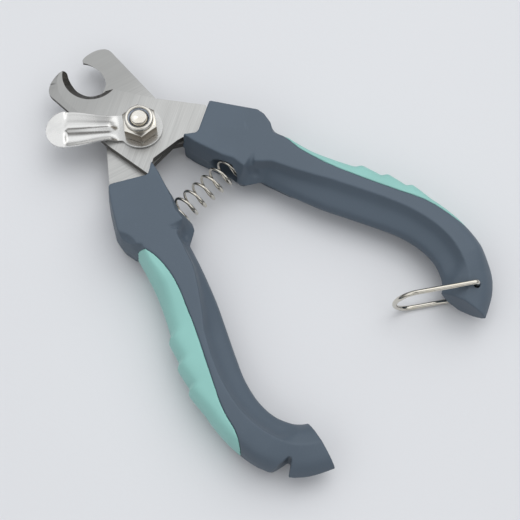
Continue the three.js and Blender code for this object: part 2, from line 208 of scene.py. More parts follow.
def loft(name, rings, capped=True, closed=False):
    """Skins a row of closed rings that all have the same number of points."""
    count = len(rings[0])
    faces = []
    for r in range(len(rings) if closed else len(rings) - 1):
        here, there = r * count, (r + 1) % len(rings) * count
        for i in range(count):
            j = (i + 1) % count
            faces.append((here + i, here + j, there + j, there + i))
    if capped:
        last = (len(rings) - 1) * count
        faces.append(tuple(range(count - 1, -1, -1)))
        faces.append(tuple(range(last, last + count)))
    piece = new_piece(name, [p for ring in rings for p in ring], faces)
    shape = bmesh.new()
    shape.from_mesh(piece.data)
    bmesh.ops.remove_doubles(shape, verts=shape.verts, dist=WELD)
    bmesh.ops.recalc_face_normals(shape, faces=shape.faces)
    shape.to_mesh(piece.data)
    shape.free()
    return piece


def turned(name, profile, steps=96):
    """A piece turned about Z; its profile of (radius, height) is closed or meets the axis."""
    rings = []
    for i in range(steps):
        a = 2 * math.pi * i / steps
        rings.append([(r * math.cos(a), r * math.sin(a), z) for r, z in profile])
    return loft(name, rings, capped=False, closed=True)


def round_bar(radius, low, high, steps=96):
    return turned("bar", [(0, low), (radius, low), (radius, high), (0, high)], steps)


def trace(outline, steps=14):
    """Points of an outline whose entries are either a corner or (control, end) of a curve."""
    points = []
    for entry in outline:
        if isinstance(entry[0], tuple):
            start, control, end = np.array(points[-1]), *map(np.array, entry)
            for i in range(1, steps + 1):
                t = i / steps
                p = start * (1 - t) ** 2 + 2 * control * t * (1 - t) + end * t**2
                points.append(tuple(p))
        else:
            points.append(entry)
    return points


def plate(name, points, low, high):
    """A flat plate; its outline may run either way round."""
    area = sum(
        x0 * y1 - x1 * y0 for (x0, y0), (x1, y1) in zip(points, points[1:] + points[:1])
    )
    if area < 0:
        points = points[::-1]
    return loft(name, [[(x, y, low) for x, y in points], [(x, y, high) for x, y in points]])


def grow(points, distance):
    """Moves every side of an anticlockwise outline outwards by the same distance."""
    moved = []
    for i, here in enumerate(map(Vector, points)):
        back = (here - Vector(points[i - 1])).normalized()
        ahead = (Vector(points[(i + 1) % len(points)]) - here).normalized()
        bisector = Vector((back.y + ahead.y, -back.x - ahead.x)).normalized()
        reach = distance / (bisector.x * back.y - bisector.y * back.x)
        moved.append(tuple(here + bisector * reach))
    return moved


def tube(name, path, radius, sides=16):
    """A round wire along a row of points."""
    path = [Vector(p) for p in path]
    ahead = [(path[min(i + 1, len(path) - 1)] - path[max(i - 1, 0)]).normalized()
             for i in range(len(path))]
    across = ahead[0].orthogonal().normalized()
    rings = []
    for centre, tangent in zip(path, ahead):
        across = (across - tangent * across.dot(tangent)).normalized()
        other = tangent.cross(across)
        rings.append([
            centre + radius * (math.cos(a) * across + math.sin(a) * other)
            for a in np.linspace(0, 2 * math.pi, sides, endpoint=False)
        ])
    return loft(name, rings)


def ease_edges(piece, width, steps=2, angle=28):
    return modify(
        piece, "BEVEL", width=width, segments=steps, limit_method="ANGLE",
        angle_limit=math.radians(angle),
    )


def smooth_shaded(piece, sharp_angle=None):
    piece.data.shade_smooth()
    if sharp_angle:
        piece.data.set_sharp_from_angle(angle=math.radians(sharp_angle))
    return piece


def put_in_place(piece, node, body, finish, turn_over=False):
    """Moves a piece into the frame, gives it its finish, and lets it stand for its CAD node."""
    piece.data.transform(TO_FRAME @ TURN_OVER if turn_over else TO_FRAME)
    for each in finish if isinstance(finish, tuple) else (finish,):
        piece.data.materials.append(each)
    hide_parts(node)
    if body:
        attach(piece, body)
    return piece


# ---- finishes ----
class Wave:
    """One number that varies over a surface; sums on it add the nodes that work them out."""

    def __init__(self, finish, socket):
        self.finish = finish
        self.socket = socket

    def _maths(self, operation, *terms):
        return self.finish.out("ShaderNodeMath", {"operation": operation}, dict(enumerate(terms)))

    def __add__(self, other):
        return self._maths("ADD", self, other)

    def __mul__(self, other):
        return self._maths("MULTIPLY", self, other)

    __radd__ = __add__
    __rmul__ = __mul__

    def clipped(self, low, high):
        """0 where the value is at or under low, 1 at or over high, and straight in between."""
        settings = {"interpolation_type": "SMOOTHSTEP"}
        return self.finish.out(
            "ShaderNodeMapRange", settings, {"Value": self, "From Min": low, "From Max": high}
        )


class NodeWork:
    """Adds nodes to a material's or the world's tree."""

    def __init__(self, owner):
        owner.use_nodes = True
        self.tree = owner.node_tree

    def set_socket(self, socket, value):
        if isinstance(value, Wave):
            value = value.socket
        if isinstance(value, bpy.types.NodeSocket):
            self.tree.links.new(value, socket)
        else:
            socket.default_value = value

    def node(self, kind, settings, values):
        node = self.tree.nodes.new(kind)
        for key, value in settings.items():
            if key == "stops":
                self.set_stops(node.color_ramp, value)
            else:
                setattr(node, key, value)
        for key, value in values.items():
            if isinstance(key, int):
                socket = node.inputs[key]
            else:
                socket = next(s for s in node.inputs if s.name == key and s.enabled)
            self.set_socket(socket, value)
        return node

    def out(self, kind, settings, values, name=None):
        node = self.node(kind, settings, values)
        socket = next(s for s in node.outputs if s.enabled and name in (None, s.name))
        return Wave(self, socket) if socket.type == "VALUE" else socket

    @staticmethod
    def set_stops(ramp, stops):
        while len(ramp.elements) < len(stops):
            ramp.elements.new(1.0)
        for element, (place, colour) in zip(ramp.elements, stops):
            element.position = place
            element.color = colour

    def mixed(self, factor, a, b):
        return self.out(
            "ShaderNodeMix", {"data_type": "RGBA"}, {"Factor": factor, "A": a, "B": b}
        )


class Finish(NodeWork):
    """A material and the node work behind its colour, roughness and grain."""

    def __init__(self, name, colour, roughness, metallic=0.0, **constants):
        self.material = bpy.data.materials.new(name)
        super().__init__(self.material)
        self.shader = self.tree.nodes["Principled BSDF"]
        self.set_socket(self.shader.inputs["Base Color"], (*colour, 1))
        self.set_socket(self.shader.inputs["Roughness"], roughness)
        self.set_socket(self.shader.inputs["Metallic"], metallic)
        for key, value in constants.items():
            self.set_socket(self.shader.inputs[key.replace("_", " ")], value)
        self.place = self.out("ShaderNodeTexCoord", {}, {}, "Object")

    def stretched(self, scale, turn=0.0):
        """The surface's own place, turned about Z and then scaled along each axis."""
        settings = {"vector_type": "POINT"}
        turned_place = self.out(
            "ShaderNodeMapping", settings, {"Vector": self.place, "Rotation": (0, 0, turn)}
        )
        return self.out("ShaderNodeMapping", settings, {"Vector": turned_place, "Scale": scale})

    def noise(self, scale, detail=3.0, roughness=0.5, place=None):
        return self.out(
            "ShaderNodeTexNoise", {},
            {"Vector": place or self.place, "Scale": scale, "Detail": detail,
             "Roughness": roughness},
            "Fac",
        )

    def tint(self, mask, colour):
        """Lays another colour over the base where the mask is 1."""
        base = self.shader.inputs["Base Color"]
        under = base.links[0].from_socket if base.links else tuple(base.default_value)
        self.set_socket(base, self.mixed(mask, under, (*colour, 1)))

    def roughen(self, value):
        self.set_socket(self.shader.inputs["Roughness"], value)

    def grain(self, height, depth):
        """Raises the surface by height times depth, which is in metres."""
        values = {"Height": height, "Distance": depth, "Strength": 1.0}
        normal = self.shader.inputs["Normal"]
        if normal.links:
            values["Normal"] = normal.links[0].from_socket
        self.set_socket(normal, self.out("ShaderNodeBump", {}, values, "Normal"))


def shade(colour, factor):
    return tuple(c * factor for c in colour)


SLATE = (0.078, 0.105, 0.137)
MINT = (0.275, 0.545, 0.505)
STEEL = (0.49, 0.49, 0.48)


def moulded_plastic():
    finish = Finish("slate_plastic", SLATE, 0.5, IOR=1.46)
    cloud = finish.noise(45, 2)
    finish.tint(cloud.clipped(0.42, 0.62) * 0.5, shade(SLATE, 1.12))
    speck = finish.noise(2600, 1)
    finish.tint(speck.clipped(0.62, 0.75) * 0.35, shade(SLATE, 1.35))
    rub = finish.noise(1.0, 3, 0.7, finish.stretched((420, 70, 200), 0.6))
    finish.tint(rub.clipped(0.66, 0.74) * 0.22, shade(SLATE, 1.5))
    finish.roughen(0.44 + cloud * 0.1 + speck * 0.08)
    finish.grain(finish.noise(5200, 2), 0.000012)
    finish.grain(cloud, 0.00008)
    return finish.material


def soft_rubber():
    finish = Finish("mint_rubber", MINT, 0.6, IOR=1.42, Sheen_Weight=0.08, Sheen_Roughness=0.5)
    cloud = finish.noise(70, 2)
    finish.tint(cloud.clipped(0.4, 0.66) * 0.45, shade(MINT, 0.9))
    dust = finish.noise(1700, 2)
    finish.tint(dust.clipped(0.66, 0.78) * 0.3, shade(MINT, 0.8))
    finish.roughen(0.52 + dust * 0.14)
    finish.grain(finish.noise(4200, 2), 0.00001)
    return finish.material


SHADED_JAWS = (0.044, 0.062)  # from here to here along the blade its steel is painted darker, a painted shade on the jaws


def brushed_steel(name, turn, tone):
    """Sheet steel, brushed along one direction of the sheet."""
    colour = shade(STEEL, tone)
    finish = Finish(name, colour, 0.3, 1.0)
    fine = finish.noise(1.0, 4, 0.65, finish.stretched((60, 5200, 60), turn))
    broad = finish.noise(1.0, 2, 0.5, finish.stretched((35, 900, 35), turn))
    cloud = finish.noise(90, 3)
    finish.tint(fine.clipped(0.35, 0.7) * 0.7, shade(colour, 0.74))
    finish.tint(broad.clipped(0.5, 0.75) * 0.25, shade(colour, 1.12))
    finish.tint(cloud.clipped(0.55, 0.75) * 0.3, shade((1.0, 0.97, 0.92), colour[0]))
    tipward = finish.out("ShaderNodeSeparateXYZ", {}, {"Vector": finish.place}, "Y")
    # the jaws are painted darker: painted shade
    finish.tint(tipward.clipped(*SHADED_JAWS) * 0.75, shade(colour, 0.62))
    finish.roughen(0.26 + fine * 0.14 + cloud * 0.06)
    finish.grain(fine, 0.000005)
    finish.grain(broad, 0.000006)
    return finish.material


def shaded_edge_steel():
    """A dark steel for a blade's steep rims and ground bevel: painted shade where they face away
    from the light, with coarser streaked roughness.
    """
    colour = (0.075, 0.07, 0.063)
    finish = Finish("shaded_edge_steel", colour, 0.38, 1.0)
    streak = finish.noise(1.0, 3, 0.6, finish.stretched((2200, 2200, 260)))
    finish.tint(streak.clipped(0.4, 0.7) * 0.6, shade(colour, 1.9))
    finish.roughen(0.34 + streak * 0.2)
    finish.grain(streak, 0.00001)
    return finish.material


def bright_metal(name, colour, roughness, warmth=0.25):
    """Polished or plated metal, with faint smears and hairline scratches."""
    finish = Finish(name, colour, roughness, 1.0)
    smear = finish.noise(160, 3)
    finish.tint(smear.clipped(0.5, 0.7) * warmth, (colour[0], colour[1] * 0.93, colour[2] * 0.82))
    scratch = finish.noise(1.0, 3, 0.6, finish.stretched((120, 4200, 120), 0.9))
    finish.roughen(roughness + smear * 0.05 + scratch.clipped(0.6, 0.72) * 0.1)
    finish.grain(scratch, 0.0000015)
    return finish.material


LEVER_HIGHLIGHT = (0.0065, 0.0115)  # between these distances from the eye the sheet is painted brighter, a painted reflection on the lever


def pressed_sheet():
    """Polished sheet for the guard, painted brighter along its lever than around its eye: a painted
    reflection.
    """
    finish = Finish("polished_sheet", (0.56, 0.56, 0.55), 0.28, 1.0)
    settings = {"operation": "DISTANCE"}
    eye = (PIVOT.x, PIVOT.y, PIVOT.z + GUARD_LOW * MM)
    reach = finish.out("ShaderNodeVectorMath", settings, {0: finish.place, 1: eye}, "Value")
    # the lever is painted brighter: painted reflection
    finish.tint(reach.clipped(*LEVER_HIGHLIGHT), (0.74, 0.735, 0.72))
    smear = finish.noise(160, 3)
    scratch = finish.noise(1.0, 3, 0.6, finish.stretched((120, 4200, 120), 0.9))
    finish.tint(smear.clipped(0.5, 0.72) * 0.25, (0.5, 0.5, 0.5))
    finish.roughen(0.24 + smear * 0.06 + scratch.clipped(0.6, 0.72) * 0.1)
    finish.grain(scratch, 0.000002)
    return finish.material


def nylon_ring():
    colour = (0.36, 0.4, 0.47)
    finish = Finish("blue_nylon", colour, 0.45)
    cloud = finish.noise(900, 2)
    finish.tint(cloud.clipped(0.4, 0.7) * 0.5, shade(colour, 1.4))
    finish.roughen(0.4 + cloud * 0.15)
    finish.grain(cloud, 0.00001)
    return finish.material


def paper_floor():
    colour = (0.69, 0.70, 0.725)
    finish = Finish("pale_floor", colour, 0.75)
    cloud = finish.noise(6, 2)
    finish.tint(cloud.clipped(0.35, 0.7) * 0.35, shade(colour, 0.97))
    fleck = finish.noise(900, 3)
    finish.tint(fleck.clipped(0.6, 0.8) * 0.2, shade(colour, 0.94))
    finish.grain(fleck, 0.00002)
    return finish.material


# ---- blades ----
TANG = [(7.5, -11.3), (13.5, -18), (17.6, -22.5), (18.4, -31), (23.2, -31), (24, -19),
        (19.9, -10.4)]
BLADE = [
    (1.4, 19.3),
    (-0.2, 19.25),
    ((-4.8, 19.5), (-4.95, 25.5)),
    ((-4.95, 28.8), (-3.4, 31.3)),
    ((-3.2, 32.6), (-5.4, 32.7)),
    ((-9.8, 32.6), (-11.8, 30.4)),
    ((-12.7, 29.3), (-12.5, 27.4)),
    (-11.3, 3),
    (-8.8, -13),
    (-4, -10.3),
    (5.4, -10.9),
    *TANG,
    (20.4, -8),
    (10.3, 5),
]
TANG_GAP = 0.2
BITE = (1.7, 25.4)
BITE_RADIUS = 6.75
STEEP_NORMAL = 0.8  # a face steeper than this takes the dark steel, painted shade on the rims and ground bevel
FLAT_NORMAL = 0.97  # and one flatter than this is shaded flat


def bite_cutter():
    """The cone that grinds the bite to an edge at the meeting plane."""
    slope = BEVEL_RUN / (BLADE_HIGH - BLADE_LOW)
    low, high = BLADE_LOW - 1, BLADE_HIGH + 1
    wide = [BITE_RADIUS + (z - BLADE_LOW) * slope for z in (low, high)]
    cone = turned("cone", [(0, low), (wide[0], low), (wide[1], high), (0, high)], 160)
    cone.data.transform(Matrix.Translation((*BITE, 0)))
    return cone


RELIEF_LINE = [(-3.6, 33.6), (-5.6, 32.4), (-7.5, 31.2), (-9.6, 28.2), (-10.5, 25.2),
               (-10.5, 21.4), (-10.2, 17.1), (-10.4, 12.5), (-11.4, 8), (-13, 4)]
RELIEF_SLOPE = 0.3
RELIEF_REACH = 6


def relief_cutter():
    """A wedge along a curved line that grinds the outside of the hook down to a thin edge."""
    rings = []
    steps = (len(RELIEF_LINE) - 1) * 8
    for i in range(steps + 1):
        place = i / 8
        x, y = spline(RELIEF_LINE, place)
        before, after = spline(RELIEF_LINE, place - 0.05), spline(RELIEF_LINE, place + 0.05)
        ahead = (after - before) / np.linalg.norm(after - before)
        far_x, far_y = x + ahead[1] * RELIEF_REACH, y - ahead[0] * RELIEF_REACH
        low = BLADE_HIGH - RELIEF_SLOPE * RELIEF_REACH
        rings.append([(x, y, BLADE_HIGH), (x, y, BLADE_HIGH + 1),
                      (far_x, far_y, BLADE_HIGH + 1), (far_x, far_y, low)])
    return loft("wedge", rings)


def make_blade(name, hole):
    blade = plate(name, trace(BLADE), BLADE_LOW, BLADE_HIGH)
    cut(blade, bite_cutter(), relief_cutter(), hole)
    ease_edges(blade, 0.1)
    smooth_shaded(blade, 8)
    for face in blade.data.polygons:
        # steep faces take the dark steel: painted shade on the rims and bevel
        face.material_index = int(abs(face.normal.z) < STEEP_NORMAL)
        face.use_smooth = abs(face.normal.z) < FLAT_NORMAL
    return blade


def square_bar(width, low, high):
    half = width / 2
    return plate("square", [(-half, -half), (half, -half), (half, half), (-half, half)], low, high)


# ---- handles ----
# A section runs from the inner edge (0) to the outer edge (1) of the outline at the parting
# plane; each pair is (place across, height) and the lower side mirrors the upper one.
def head_section(lean):
    return [(0, 0), (lean * 0.4, 0.5), (lean, 1), (0.5, 1), (0.95, 1), (0.98, 0.5), (1, 0)]


HORN, MIDDLE, HEAD = map(head_section, (0.02, 0.08, 0.14))
NECK = [(0, 0), (0.1, 0.24), (0.22, 0.54), (0.28, 1), (0.85, 0.99), (0.96, 0.5), (1, 0)]
WAIST = [(0, 0), (0.09, 0.25), (0.27, 0.56), (0.36, 1), (0.8, 0.96), (0.94, 0.5), (1, 0)]
GRIP = [(0, 0), (0.06, 0.27), (0.31, 0.6), (0.45, 1), (0.82, 0.84), (0.965, 0.44), (1, 0)]
TAIL = [(0, 0), (0.08, 0.35), (0.22, 0.7), (0.47, 1), (0.76, 0.72), (0.92, 0.35), (1, 0)]
CREASE = 3

# Each rung: inner edge, outer edge, half height, section, how far its corners are rounded, and
# how near the inner edge the lower side's crease comes, as a share of the upper one's place.
SHARP_FRONT = [
    ((6.1, -12), (20.9, -9.1), HALF_HEIGHT - 0.9, HORN, 0, 1),
    ((6.4, -13.2), (21.7, -10.3), HALF_HEIGHT, HORN, 0, 1),
    ((7.1, -17), (24.7, -14.6), HALF_HEIGHT, HORN, 0, 1),
]
ROUND_FRONT = [
    ((6.1, -12), (20.6, -9.3), HALF_HEIGHT - 0.9, HORN, 0, 1),
    ((6.2, -12.4), (21.6, -9.4), HALF_HEIGHT - 0.4, HORN, 0, 1),
    ((6.3, -12.8), (22.4, -9.9), HALF_HEIGHT, HORN, 0, 1),
    ((6.5, -13.8), (23.3, -11), HALF_HEIGHT, HORN, 0, 1),
    ((7.1, -17), (25.9, -14.8), HALF_HEIGHT, HORN, 0, 1),
]
HEAD_RUNGS = [
    ((8.6, -26), (30.2, -22.2), HALF_HEIGHT, MIDDLE, 0, 1),
    ((9.2, -30), (30.6, -24.6), HALF_HEIGHT, HEAD, 0, 1),
    ((9.9, -34.2), (29.8, -28.4), HALF_HEIGHT, HEAD, 0, 1),
    ((10.7, -36.1), (29.7, -30.2), HALF_HEIGHT, NECK, 0, 1),
    ((12.4, -37.2), (30, -32.2), HALF_HEIGHT, NECK, 0.3, 1),
]
GRIP_RUNGS = [
    ((15.3, -38.9), (31, -36), HALF_HEIGHT, NECK, 0.6, 0.6),
    ((17.9, -47), (33.4, -43.6), HALF_HEIGHT, WAIST, 0.8, 0.5),
    ((21.9, -57.4), (37, -51.9), HALF_HEIGHT, GRIP, 1, 0.7),
    ((25.9, -66), (40.9, -59.5), HALF_HEIGHT, GRIP, 1, 0.95),
    ((29.5, -73.6), (44.3, -67), HALF_HEIGHT, GRIP, 1, 1),
    ((32.6, -80.8), (47, -75.3), HALF_HEIGHT, GRIP, 1, 1),
    ((34.2, -88), (48.7, -84), HALF_HEIGHT, GRIP, 1, 1),
    ((33.9, -94.2), (49, -92.5), HALF_HEIGHT, GRIP, 1, 1),
    ((32, -98.8), (47.7, -101), 7.4, GRIP, 1, 1),
    ((30.2, -101), (44.3, -108.3), 6.6, TAIL, 1, 1),
    ((28.9, -102), (39.2, -113.3), 5.9, TAIL, 1, 1),
    ((28.3, -102.4), (32, -117), 5, TAIL, 1, 1),
]
GRIP_STEPS = 180
SPAN_STEPS = 7
SWELL_BAND = (0.66, 0.9)  # a ridge swells over this part of the way across


def section_curve(section, rounding):
    """Many points across the upper side of a section, with a crease kept at its ridge."""
    places = np.linspace(0, 1, SPAN_STEPS * CREASE + 1) * CREASE
    inner_half, outer_half = np.array(section[: CREASE + 1]), np.array(section[CREASE:])
    points = []
    for half in (inner_half, outer_half):
        for place in places:
            straight = straight_mix(half, place)
            points.append(straight * (1 - rounding) + spline(half, place) * rounding)
        if half is inner_half:
            points.pop()
    return np.minimum(points, 1)


def ridge(along):
    """A finger ridge rises sharply at its front and falls slowly behind."""
    rise = 0.0
    for start in RIDGE_STARTS:
        u = (along - start) / RIDGE_LENGTH
        if 0 <= u < 1:
            rise = RIDGE_HEIGHT * min(u / RIDGE_FRONT, (1 - u) / (1 - RIDGE_FRONT))
    return rise


def section_ring(inner, outer, height, across, lower_crease, inset, swell=0.0):
    """One ring of a handle: across holds its upper side as (place across, height) shares."""
    inner, outer = np.array(inner, float), np.array(outer, float)
    way = (outer - inner) / np.linalg.norm(outer - inner)
    inner, outer = inner + way * inset, outer - way * inset
    crease = across[SPAN_STEPS * CREASE][0]

    def side(share, up):
        points = []
        for u, z in across:
            place = np.interp(u, (0, crease, 1), (0, crease * share, 1))
            push = swell * smooth_step(u, *SWELL_BAND)
            x, y = inner + (outer - inner) * place + way * push
            points.append((x, y, up * z * (height - inset)))
        return points

    return (side(1, 1) + side(lower_crease, -1)[-2:0:-1])[::-1]


def handle_blank(inset=0.0, front=SHARP_FRONT):
    """One half's moulding before its holes; an inset draws its whole skin inwards."""
    rings = [
        section_ring(inner, outer, height, section_curve(section, rounding), share, inset)
        for inner, outer, height, section, rounding, share in front + HEAD_RUNGS
    ]
    inner_edge, outer_edge, heights, sections, roundings, shares = zip(*GRIP_RUNGS)
    curves = [section_curve(*pair) for pair in zip(sections, roundings)]
    for step in range(GRIP_STEPS + 1):
        along = step / GRIP_STEPS
        place = along * (len(GRIP_RUNGS) - 1)
        rings.append(section_ring(
            spline(inner_edge, place),
            spline(outer_edge, place),
            straight_mix(heights, place),
            straight_mix(curves, place),
            straight_mix(shares, place),
            inset,
            ridge(along),
        ))
    return loft("blank", rings)


# Where the soft inlay meets the hard body: on the upper side, and on the lower side.
INLAY_EDGES = [
    ((31.5, -32.5), (31.8, -28.4)),
    ((29.2, -34.6), (28.4, -29.8)),
    ((29, -37.5), (26.6, -34.4)),
    ((29.4, -41.5), (26.4, -40.3)),
    ((31.3, -47.8), (27.7, -47.3)),
    ((34.2, -55.4), (30.5, -54.6)),
    ((38.1, -64.6), (33.6, -61.7)),
    ((41.6, -72.2), (40.5, -76.1)),
    ((45.5, -80.6), (43.9, -83.8)),
    ((47.8, -92.4), (45.8, -90.7)),
    ((49.6, -96.6), (49.3, -97.6)),
]
INLAY_CLEAR = [(60, -100), (60, -28)]  # corners well outside the body
INLAY_STEPS = 6


def inlay_zone(distance):
    """The space outside the inlay's edges, grown towards the body by the given distance."""
    rings = []
    for side, z in ((1, -CUT_REACH), (0, CUT_REACH)):
        edge = [pair[side] for pair in INLAY_EDGES]
        count = (len(edge) - 1) * INLAY_STEPS
        line = [tuple(spline(edge, i / INLAY_STEPS)) for i in range(count + 1)]
        outline = grow([*line, *INLAY_CLEAR], distance)
        rings.append([(x, y, z) for x, y in outline])
    return loft("zone", rings)


def horn_cutter():
    outline = trace([(5.4, -8), (5.7, -12), (9.6, -14.8), ((10.4, -15.3), (11.6, -14.6)),
                     (22, -9), (22, -8)])
    return plate("horn", outline, -CUT_REACH, CUT_REACH)


def tang_slot():
    """Room for the blade's tang, open at the front of the handle."""
    outline = grow([*TANG, (20.4, -7), (7, -7)], TANG_GAP)
    return plate("slot", outline, BLADE_LOW - TANG_GAP, BLADE_HIGH + TANG_GAP)


def spring_pocket():
    pocket = round_bar(POCKET_RADIUS, 0, POCKET_END - POCKET_START)
    turn = Matrix.Rotation(math.pi / 2, 4, "Y")
    pocket.data.transform(Matrix.Translation((POCKET_START, POCKET_Y, 0)) @ turn)
    return pocket


def soften(piece, grid=0.3, rounds=4):
    """Rounds every edge a little, as a moulding's edges are."""
    modify(piece, "REMESH", mode="VOXEL", voxel_size=grid)
    modify(piece, "SMOOTH", factor=0.5, iterations=rounds)
    return smooth_shaded(piece)


def scoop(centre, radii, turn):
    """An egg-shaped hollow, turned about Z."""
    profile = [(math.sin(a), math.cos(a)) for a in np.linspace(0, math.pi, 24)]
    egg = turned("scoop", profile, 48)
    egg.data.transform(
        Matrix.Translation(centre) @ Matrix.Rotation(math.radians(turn), 4, "Z")
        @ Matrix.Diagonal((*radii, 1))
    )
    return egg


# Hollows beside the neck: (centre, radii, turn); each is cut on both sides of the moulding.
NECK_SCOOP = ((14.6, -37, 7), (2.1, 3.1, 5.2), 28)
# The thumb's hollow ahead of the inlay is only on the side where the inlay is wide.
THUMB_SCOOP = ((32.4, -26.4, -9.4), (4.6, 6.4, 4.2), -24)


def make_handle(name, end_cut, front):
    body = handle_blank(front=front)
    body.name = name
    groove = cut(inlay_zone(0), handle_blank(GRIP_DEPTH))
    (x, y, z), radii, angle = NECK_SCOOP
    hollows = [scoop((x, y, side * z), radii, angle) for side in (1, -1)]
    hollows.append(scoop(*THUMB_SCOOP))
    cut(body, groove, horn_cutter(), tang_slot(), spring_pocket(), end_cut, *hollows)
    return soften(body)


def make_grip(name):
    grip = handle_blank()
    grip.name = name
    cut(grip, inlay_zone(-SEAM), operation="INTERSECT")
    cut(grip, handle_blank(GRIP_DEPTH - SEAM))
    return soften(grip)


def bail_hole():
    hole = round_bar(BAIL_HOLE_RADIUS, -CUT_REACH, CUT_REACH)
    hole.data.transform(Matrix.Translation((BAIL_PIVOT.x, BAIL_PIVOT.y, 0)))
    return hole


def catch_notch():
    outline = [(43.4, -109.4), (47.5, -109.4), (47.5, -104.2), (45.1, -105.2), (39.8, -105.9),
               (39.6, -106.8)]
    return plate("notch", outline, -CUT_REACH, CUT_REACH)


# ---- fasteners ----
def round_head(foot):
    """The domed underside of the bolt's head, from its foot out to its rim."""
    return [
        (BOLT_HEAD_RADIUS * (0.35 + 0.65 * math.sin(a)),
         foot + BOLT_HEAD_HEIGHT * 0.75 * (1 - math.cos(a)))
        for a in np.linspace(0, math.pi / 2, 9)
    ]


def thread(low, high):
    """One crest and one root for each turn; the profile closes the slopes between them."""
    crests = []
    z = low
    while z < high:
        crests += [
            (BOLT_RADIUS, z),
            (BOLT_RADIUS, z + THREAD_CREST),
            (BOLT_RADIUS - THREAD_DEPTH, z + THREAD_PITCH / 2),
        ]
        z += THREAD_PITCH
    return crests


def make_bolt():
    seat = -BLADE_HIGH - BOLT_HEAD_GAP
    foot = seat - BOLT_HEAD_HEIGHT
    profile = [
        (0, foot),
        *round_head(foot),
        (BOLT_HEAD_RADIUS, seat - 0.15),
        (BOLT_HEAD_RADIUS - 0.15, seat),
        (BOLT_RADIUS, seat),
        *thread(BLADE_HIGH + 0.4, BOLT_END - 1.6),
        (BOLT_RADIUS - 0.1, BOLT_END - 1.0),
        (BOLT_END_RADIUS + 0.15, BOLT_END - 0.25),
        (BOLT_END_RADIUS, BOLT_END - 0.08),
        (BOLT_END_RADIUS - 0.15, BOLT_END),
        (0.9, BOLT_END),
        (0.5, BOLT_END - 0.12),
        (0, BOLT_END - 0.15),
    ]
    bolt = turned("bolt", profile)
    neck = square_bar(BOLT_NECK, seat - 0.5, -BLADE_LOW - 0.3)
    cut(bolt, neck, operation="UNION")
    return smooth_shaded(bolt, 20)


def make_nut():
    corners = [
        (NUT_CORNER * math.cos(NUT_TURN + math.radians(30 + 60 * k)),
         NUT_CORNER * math.sin(NUT_TURN + math.radians(30 + 60 * k)))
        for k in range(6)
    ]
    nut = plate("nut", corners, NUT_BASE, HEX_TOP)
    chamfers = turned("chamfers", [
        (0, NUT_BASE),
        (NUT_CORNER - 0.5, NUT_BASE),
        (NUT_CORNER + 0.1, NUT_BASE + 0.4),
        (NUT_CORNER + 0.1, HEX_TOP - 0.55),
        (COLLAR_RADIUS + 0.1, HEX_TOP),
        (0, HEX_TOP),
    ])
    seat, wall_top = HEX_TOP - 0.2, NUT_TOP - 0.85
    roll = [
        (COLLAR_RADIUS - COLLAR_ROLL * (1 - math.cos(a)), NUT_TOP - COLLAR_ROLL * (1 - math.sin(a)))
        for a in np.linspace(0, math.pi * 0.62, 9)[1:]
    ]
    crown = turned("crown", [
        (0, seat),
        (COLLAR_RADIUS, seat),
        (COLLAR_RADIUS, wall_top),
        *roll,
        (LIP_RADIUS, NUT_TOP - 0.25),
        (0, NUT_TOP - 0.25),
    ])
    bore, ring_seat = BOLT_RADIUS + 0.12, COLLAR_RADIUS - COLLAR_ROLL
    hollow = turned("hollow", [
        (0, NUT_BASE - 1),
        (bore, NUT_BASE - 1),
        (bore, seat),
        (ring_seat, seat),
        (ring_seat, wall_top),
        (LIP_RADIUS, NUT_TOP - 0.5),
        (LIP_RADIUS, NUT_TOP + 1),
        (0, NUT_TOP + 1),
    ])
    cut(nut, chamfers, operation="INTERSECT")
    cut(nut, crown, operation="UNION")
    cut(nut, hollow)
    ease_edges(nut, 0.08, angle=24)
    for face in nut.data.polygons:
        on_hexagon = face.center.z < HEX_TOP - 0.3
        # the hexagon's steep sides take the dark nickel: painted shade
        face.material_index = int(on_hexagon and abs(face.normal.z) < STEEP_NORMAL)
    return smooth_shaded(nut, 20)


def make_insert():
    low, high = node_range("nut_insert", 2)
    inner, outer = BOLT_RADIUS + 0.07, COLLAR_RADIUS - 0.72
    middle = (inner + outer) / 2
    profile = [(inner, low), (outer, low), (outer, high - 0.1), (outer - 0.1, high),
               (middle, high + 0.05), (inner + 0.1, high), (inner, high - 0.1), (inner, low)]
    return smooth_shaded(turned("insert", profile), 40)


# ---- nail guard, drawn along +X ----
GUARD_ROWS = 110
GUARD_COLUMNS = 40
GUARD_TRIM = 0.03  # taken off each end, so that no row shrinks to a point
ROW_CROWDING = 0.85  # how far the rows crowd towards the two ends
WAIST_START = 9.0
WAIST_END = 22.0
WAIST_HALF_WIDTH = 4.35
WAIST_WIDENING = 1.85
TROUGH_END = 23.0
LEVER_CLIMB = (6.6, 10.2)  # the lever rises from the eye over this stretch

# Height across the lever, in shares of the curl: a slope up to a ridge line, then a trough.
LEVER_PROFILE = [0.2, 0.42, 0.65, 0.9, 0.98, 0.42, 0.2, 0.36, 0.85]


def guard_half_width(s):
    eye = math.sqrt(max(GUARD_EYE_RADIUS**2 - s**2, 0))
    pad = math.sqrt(max(GUARD_PAD_RADIUS**2 - (s - GUARD_REACH) ** 2, 0))
    waist = WAIST_HALF_WIDTH + WAIST_WIDENING * smooth_step(s, WAIST_START, WAIST_END)
    if s < WAIST_START:
        return max(eye, waist if s > 0 else 0)
    return pad if s > GUARD_REACH else waist


def guard_rise(s, across):
    """The lever climbs from its eye, and its tip curls over beyond the trough."""
    lever = spline(LEVER_PROFILE, (across + 1) / 2 * (len(LEVER_PROFILE) - 1))
    tip = (0.78 - 0.55 * smooth_step(s, TROUGH_END + 1, TROUGH_END + 7)) * (1 - 0.25 * across**2)
    at_tip = smooth_step(s, TROUGH_END - 0.5, TROUGH_END + 0.9)
    return GUARD_CURL * smooth_step(s, *LEVER_CLIMB) * (lever * (1 - at_tip) + tip * at_tip)


